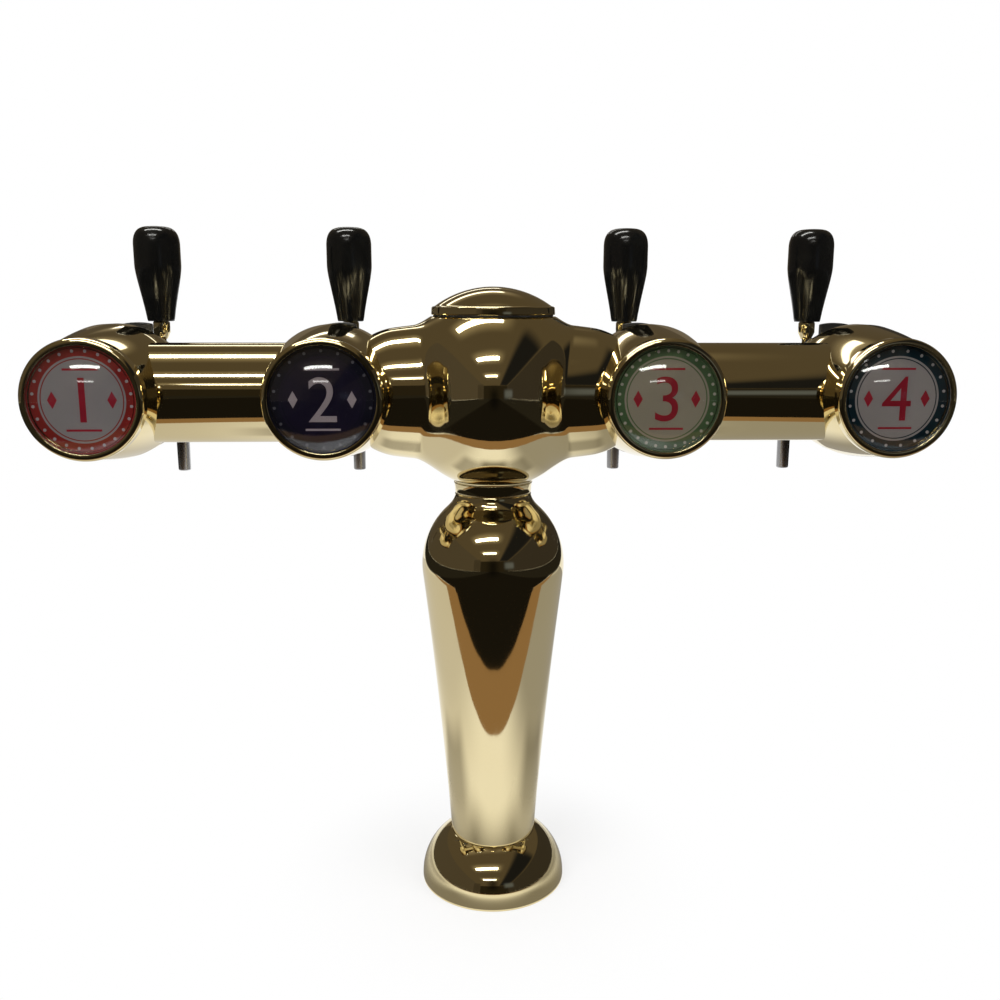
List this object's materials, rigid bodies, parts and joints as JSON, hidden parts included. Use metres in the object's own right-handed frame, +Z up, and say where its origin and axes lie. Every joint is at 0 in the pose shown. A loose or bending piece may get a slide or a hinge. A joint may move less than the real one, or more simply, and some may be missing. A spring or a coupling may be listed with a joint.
{
  "type": "draft beer tower",
  "caption": "T-shaped polished brass draft beer tower: a tapered column carries a hub with arms, round badge housings and lever taps with black handles.",
  "frame": {"origin": "centre of the foot on the counter", "axes": "+X to the guests' right along the arms, -Y towards the guests, +Y towards the bartender, +Z up"},
  "size_m": [0.691, 0.2774, 0.5441],
  "materials": {
    "polished_brass": "mirror polished",
    "inner_brass": "turned",
    "plain_steel": "turned stainless",
    "spout_steel": "satin",
    "black_handle": "glossy black",
    "black_cover": "satin black",
    "coupling_plastic": "moulded",
    "seal_rubber": "moulded",
    "lens_clear": "clear dome",
    "badge_1": "printed disc",
    "badge_2": "printed disc",
    "badge_3": "printed disc",
    "badge_4": "printed disc"
  },
  "bodies": {
    "tower": {"base_gasket": "seal_rubber", "base_ring": "plain_steel", "base_flange": "polished_brass", "column_shell": "polished_brass", "neck_ring": "polished_brass", "neck_nipple": "inner_brass", "hub_body": "polished_brass", "hub_cap": "polished_brass", "cap_seal": "seal_rubber", "hub_nipples": "inner_brass", "arm_tube_left": "polished_brass", "arm_tube_right": "polished_brass", "bezels": "polished_brass", "badge_seals": "seal_rubber", "rear_covers": "black_cover", "shanks": "plain_steel", "shank_nuts": "inner_brass", "coupling_nuts": "polished_brass", "bonnets": "polished_brass", "lever_pins": "plain_steel", "spouts": "spout_steel", "product_lines": "plain_steel", "line_couplings": "coupling_plastic", "housing_1": "polished_brass", "housing_2": "polished_brass", "housing_3": "polished_brass", "housing_4": "polished_brass", "badge_1": "badge_1", "badge_2": "badge_2", "badge_3": "badge_3", "badge_4": "badge_4", "lens_1": "lens_clear", "lens_2": "lens_clear", "lens_3": "lens_clear", "lens_4": "lens_clear", "tap_body_1": "polished_brass", "tap_body_2": "polished_brass", "tap_body_3": "polished_brass", "tap_body_4": "polished_brass"},
    "lever_1": {"lever_1": "polished_brass", "ferrule_1": "polished_brass", "handle_1": "black_handle"},
    "plunger_1": {"plunger_1": "plain_steel", "plunger_seal_1": "seal_rubber"},
    "lever_2": {"lever_2": "polished_brass", "ferrule_2": "polished_brass", "handle_2": "black_handle"},
    "plunger_2": {"plunger_2": "plain_steel", "plunger_seal_2": "seal_rubber"},
    "lever_3": {"lever_3": "polished_brass", "ferrule_3": "polished_brass", "handle_3": "black_handle"},
    "plunger_3": {"plunger_3": "plain_steel", "plunger_seal_3": "seal_rubber"},
    "lever_4": {"lever_4": "polished_brass", "ferrule_4": "polished_brass", "handle_4": "black_handle"},
    "plunger_4": {"plunger_4": "plain_steel", "plunger_seal_4": "seal_rubber"}
  },
  "joints": [
    {"name": "tap_lever_1", "type": "hinge", "parent": "tower", "child": "lever_1", "pos_m": [-0.2935, 0.1437, 0.428], "axis": [-1, 0, 0], "range_deg": [0, 40]},
    {"name": "valve_1", "type": "slide", "parent": "tower", "child": "plunger_1", "axis": [0, -1, 0], "range_m": [0, 0.01167]},
    {"name": "tap_lever_2", "type": "hinge", "parent": "tower", "child": "lever_2", "pos_m": [-0.1242, 0.1437, 0.428], "axis": [-1, 0, 0], "range_deg": [0, 40]},
    {"name": "valve_2", "type": "slide", "parent": "tower", "child": "plunger_2", "axis": [0, -1, 0], "range_m": [0, 0.01167]},
    {"name": "tap_lever_3", "type": "hinge", "parent": "tower", "child": "lever_3", "pos_m": [0.1242, 0.1437, 0.428], "axis": [-1, 0, 0], "range_deg": [0, 40]},
    {"name": "valve_3", "type": "slide", "parent": "tower", "child": "plunger_3", "axis": [0, -1, 0], "range_m": [0, 0.01167]},
    {"name": "tap_lever_4", "type": "hinge", "parent": "tower", "child": "lever_4", "pos_m": [0.2935, 0.1437, 0.428], "axis": [-1, 0, 0], "range_deg": [0, 40]},
    {"name": "valve_4", "type": "slide", "parent": "tower", "child": "plunger_4", "axis": [0, -1, 0], "range_m": [0, 0.01167]}
  ],
  "couplings": [
    {"joint": "valve_1", "follows": "tap_lever_1", "m_per_rad": 0.016573},
    {"joint": "valve_2", "follows": "tap_lever_2", "m_per_rad": 0.016573},
    {"joint": "valve_3", "follows": "tap_lever_3", "m_per_rad": 0.016573},
    {"joint": "valve_4", "follows": "tap_lever_4", "m_per_rad": 0.016573}
  ]
}
